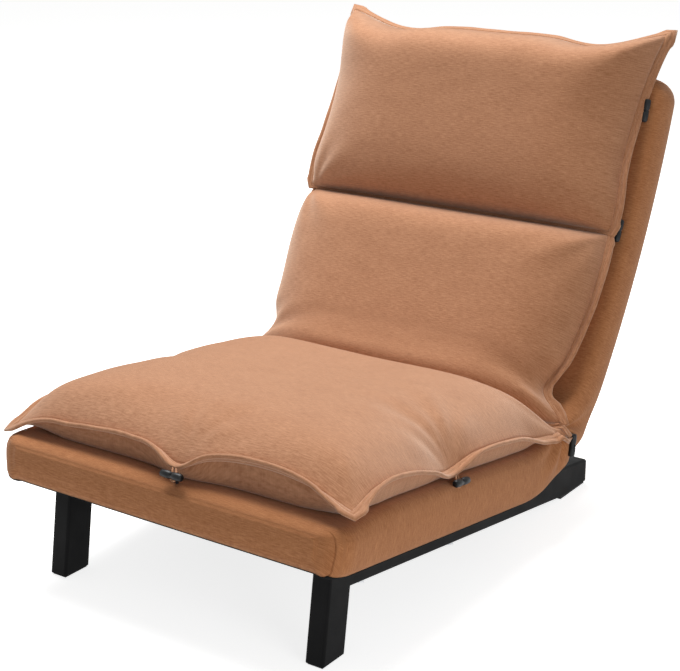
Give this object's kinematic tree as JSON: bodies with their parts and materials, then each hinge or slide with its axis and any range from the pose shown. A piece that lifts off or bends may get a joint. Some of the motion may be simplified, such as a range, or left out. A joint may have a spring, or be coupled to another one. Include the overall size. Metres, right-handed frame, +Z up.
{
  "type": "adjustable floor chair",
  "caption": "Low legless-back lounge chair: sloping steel stand, upholstered slab with a ratchet hinge that reclines flat, and a loose stuffed topper held by toggles.",
  "frame": {"origin": "on the floor, at the middle of the chair's width and of its overall length", "axes": "+Z up, +Y towards the backrest, +X to the sitter's left"},
  "size_m": [0.624, 0.9596, 0.7281],
  "materials": {
    "stand_steel": "satin",
    "frame_steel": "satin",
    "hinge_steel": "satin",
    "foot_plastic": "matte",
    "washer_nylon": "satin",
    "strap_webbing": "matte",
    "foam": "matte",
    "dust_cloth": "matte",
    "slab_fabric": "matte",
    "cushion_fabric": "matte",
    "toggle_plastic": "satin",
    "toggle_cord": "matte",
    "elastic_loop": "matte"
  },
  "bodies": {
    "base": {"bend_cover": "slab_fabric", "bend_foam": "foam", "bolt_washers": "hinge_steel", "frame_bolts": "hinge_steel", "frame_spacers": "hinge_steel", "front_cross_tube": "stand_steel", "front_leg_left": "stand_steel", "front_leg_right": "stand_steel", "hinge_washers": "washer_nylon", "leg_foot_left": "foot_plastic", "leg_foot_right": "foot_plastic", "pawl_pins": "hinge_steel", "pawl_spring_left": "hinge_steel", "pawl_spring_right": "hinge_steel", "pivot_pin_left": "hinge_steel", "pivot_pin_right": "hinge_steel", "rail_end_caps": "foot_plastic", "rear_cross_tube": "stand_steel", "rear_glides": "foot_plastic", "rivet_nuts": "hinge_steel", "seat_cover": "slab_fabric", "seat_cushion": "cushion_fabric", "seat_cushion_loops": "elastic_loop", "seat_dust_cloth": "dust_cloth", "seat_foam": "foam", "seat_front_tube": "frame_steel", "seat_hinge_arm_left": "hinge_steel", "seat_hinge_arm_right": "hinge_steel", "seat_rear_tube": "frame_steel", "seat_side_tube_left": "frame_steel", "seat_side_tube_right": "frame_steel", "seat_straps": "strap_webbing", "seat_toggle_cords": "toggle_cord", "side_rail_left": "stand_steel", "side_rail_right": "stand_steel"},
    "backrest": {"back_cover": "slab_fabric", "back_cushion_loops": "elastic_loop", "back_foam": "foam", "back_hinge_arm_left": "hinge_steel", "back_hinge_arm_right": "hinge_steel", "back_lower_tube": "frame_steel", "back_middle_tube": "frame_steel", "back_side_tube_left": "frame_steel", "back_side_tube_right": "frame_steel", "back_straps": "strap_webbing", "back_toggle_cords": "toggle_cord", "back_top_tube": "frame_steel", "head_cushion": "cushion_fabric", "lumbar_cushion": "cushion_fabric"},
    "pawl_left": {"pawl_left": "hinge_steel"},
    "pawl_right": {"pawl_right": "hinge_steel"},
    "toggle_crease_left": {"toggle_crease_left": "toggle_plastic"},
    "toggle_crease_right": {"toggle_crease_right": "toggle_plastic"},
    "toggle_front": {"toggle_front": "toggle_plastic"},
    "toggle_head_left": {"toggle_head_left": "toggle_plastic"},
    "toggle_head_right": {"toggle_head_right": "toggle_plastic"},
    "toggle_hinge_left": {"toggle_hinge_left": "toggle_plastic"},
    "toggle_hinge_right": {"toggle_hinge_right": "toggle_plastic"},
    "toggle_seat_left": {"toggle_seat_left": "toggle_plastic"},
    "toggle_seat_right": {"toggle_seat_right": "toggle_plastic"}
  },
  "joints": [
    {"name": "backrest_recline", "type": "hinge", "parent": "base", "child": "backrest", "pos_m": [0, 0.13333, 0.14031], "axis": [1, 0, 0], "range_deg": [-58, 0], "deforming": ["bend_foam", "bend_cover"]},
    {"name": "pawl_lift_left", "type": "hinge", "parent": "base", "child": "pawl_left", "pos_m": [0.2375, 0.0898, 0.13391], "axis": [-1, 0, 0], "range_deg": [0, 9], "deforming": ["pawl_spring_left"]},
    {"name": "pawl_lift_right", "type": "hinge", "parent": "base", "child": "pawl_right", "pos_m": [-0.2375, 0.0898, 0.13391], "axis": [-1, 0, 0], "range_deg": [0, 9], "deforming": ["pawl_spring_right"]},
    {"name": "toggle_turn_front", "type": "hinge", "parent": "base", "child": "toggle_front", "pos_m": [0.026, -0.47219, 0.23361], "axis": [0, -0.5934, 0.8049], "range_deg": [-20, 20]},
    {"name": "toggle_turn_seat_left", "type": "hinge", "parent": "base", "child": "toggle_seat_left", "pos_m": [0.29874, -0.18571, 0.19028], "axis": [0.7071, 0.1057, 0.6992], "range_deg": [-20, 20]},
    {"name": "toggle_turn_seat_right", "type": "hinge", "parent": "base", "child": "toggle_seat_right", "pos_m": [-0.29874, -0.18571, 0.19028], "axis": [-0.7071, 0.1057, 0.6992], "range_deg": [-20, 20]},
    {"name": "toggle_turn_hinge_left", "type": "hinge", "parent": "base", "child": "toggle_hinge_left", "pos_m": [0.3065, 0.13333, 0.14031], "axis": [1, 0, 0], "range_deg": [-20, 20]},
    {"name": "toggle_turn_hinge_right", "type": "hinge", "parent": "base", "child": "toggle_hinge_right", "pos_m": [-0.3065, 0.13333, 0.14031], "axis": [-1, 0, 0], "range_deg": [-20, 20]},
    {"name": "toggle_turn_crease_left", "type": "hinge", "parent": "backrest", "child": "toggle_crease_left", "pos_m": [0.28, 0.3142, 0.43612], "axis": [0, -0.8917, 0.4527], "range_deg": [-20, 20]},
    {"name": "toggle_turn_crease_right", "type": "hinge", "parent": "backrest", "child": "toggle_crease_right", "pos_m": [-0.28, 0.3142, 0.43612], "axis": [0, -0.8917, 0.4527], "range_deg": [-20, 20]},
    {"name": "toggle_turn_head_left", "type": "hinge", "parent": "backrest", "child": "toggle_head_left", "pos_m": [0.28, 0.3901, 0.61435], "axis": [0, -0.9443, 0.3292], "range_deg": [-20, 20]},
    {"name": "toggle_turn_head_right", "type": "hinge", "parent": "backrest", "child": "toggle_head_right", "pos_m": [-0.28, 0.3901, 0.61435], "axis": [0, -0.9443, 0.3292], "range_deg": [-20, 20]}
  ]
}
